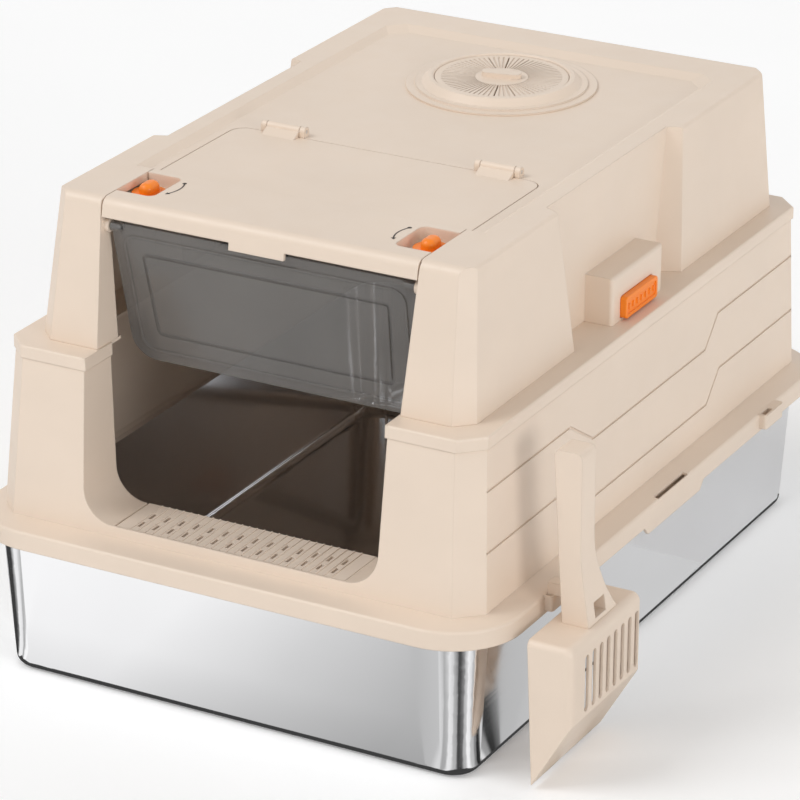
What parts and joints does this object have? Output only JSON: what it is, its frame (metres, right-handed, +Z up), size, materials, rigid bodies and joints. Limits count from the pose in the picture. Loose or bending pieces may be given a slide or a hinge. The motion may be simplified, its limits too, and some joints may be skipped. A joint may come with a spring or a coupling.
{
  "type": "covered litter box",
  "caption": "Covered cat litter box: deep steel pan under a cream wall frame and latched hood with roof flap, swing door, filter vent and a hanging scoop",
  "frame": {"origin": "centre of the pan's flat underside, on the floor", "axes": "+X to the right seen from the entry, +Y from the entry to the back, +Z up"},
  "size_m": [0.5045, 0.6164, 0.3832],
  "materials": {
    "pan_steel": "fine brushed stainless",
    "cream_plastic": "satin moulded",
    "tread_plastic": "satin moulded",
    "orange_plastic": "semi gloss moulded",
    "smoked_plastic": "smoked clear",
    "carbon_pad": "felted pad",
    "pin_steel": "drawn wire"
  },
  "bodies": {
    "pan": {"steel_pan": "pan_steel"},
    "enclosure": {"lower_frame": "cream_plastic", "entry_tread": "tread_plastic", "hood_shell": "cream_plastic", "flap_hinge_pin_left": "pin_steel", "flap_hinge_pin_right": "pin_steel", "filter_housing": "cream_plastic", "filter_basket": "cream_plastic", "carbon_filter": "carbon_pad", "button_spring_left": "pin_steel", "button_spring_right": "pin_steel", "button_guide_left": "cream_plastic", "button_guide_right": "cream_plastic", "door_pin_left": "pin_steel", "door_pin_right": "pin_steel"},
    "flap": {"roof_flap": "cream_plastic", "flap_latch_rivet_left": "pin_steel", "flap_latch_rivet_right": "pin_steel"},
    "latch_left": {"flap_latch_left": "orange_plastic"},
    "latch_right": {"flap_latch_right": "orange_plastic"},
    "button_left": {"push_button_left": "orange_plastic"},
    "button_right": {"push_button_right": "orange_plastic"},
    "vent_lid": {"filter_lid": "cream_plastic"},
    "door": {"entry_door": "smoked_plastic"},
    "scoop": {"scoop_tray": "cream_plastic", "scoop_handle": "cream_plastic"}
  },
  "joints": [
    {"name": "enclosure_lift", "type": "slide", "parent": "pan", "child": "enclosure", "axis": [0, 0, 1], "range_m": [0, 0.15]},
    {"name": "flap_hinge", "type": "hinge", "parent": "enclosure", "child": "flap", "pos_m": [0, -0.04, 0.3764], "axis": [-1, 0, 0], "range_deg": [0, 105]},
    {"name": "flap_latch_turn_left", "type": "hinge", "parent": "flap", "child": "latch_left", "pos_m": [-0.118, -0.195, 0.3662], "axis": [0, 0, 1], "range_deg": [-90, 0]},
    {"name": "flap_latch_turn_right", "type": "hinge", "parent": "flap", "child": "latch_right", "pos_m": [0.118, -0.195, 0.3662], "axis": [0, 0, 1], "range_deg": [0, 90]},
    {"name": "button_press_left", "type": "slide", "parent": "enclosure", "child": "button_left", "axis": [1, 0, 0], "range_m": [0, 0.004], "stiffness_N_per_m": 600, "springref_m": -0.002},
    {"name": "button_press_right", "type": "slide", "parent": "enclosure", "child": "button_right", "axis": [-1, 0, 0], "range_m": [0, 0.004], "stiffness_N_per_m": 600, "springref_m": -0.002},
    {"name": "vent_lid_turn", "type": "hinge", "parent": "enclosure", "child": "vent_lid", "pos_m": [0, 0.1426, 0.3766], "axis": [0, 0, 1], "range_deg": [0, 45]},
    {"name": "door_swing", "type": "hinge", "parent": "enclosure", "child": "door", "pos_m": [0, -0.2328, 0.354], "axis": [1, 0, 0], "range_deg": [-85, 60]},
    {"name": "scoop_lift", "type": "slide", "parent": "enclosure", "child": "scoop", "axis": [0, 0, 1], "range_m": [0, 0.25]}
  ]
}
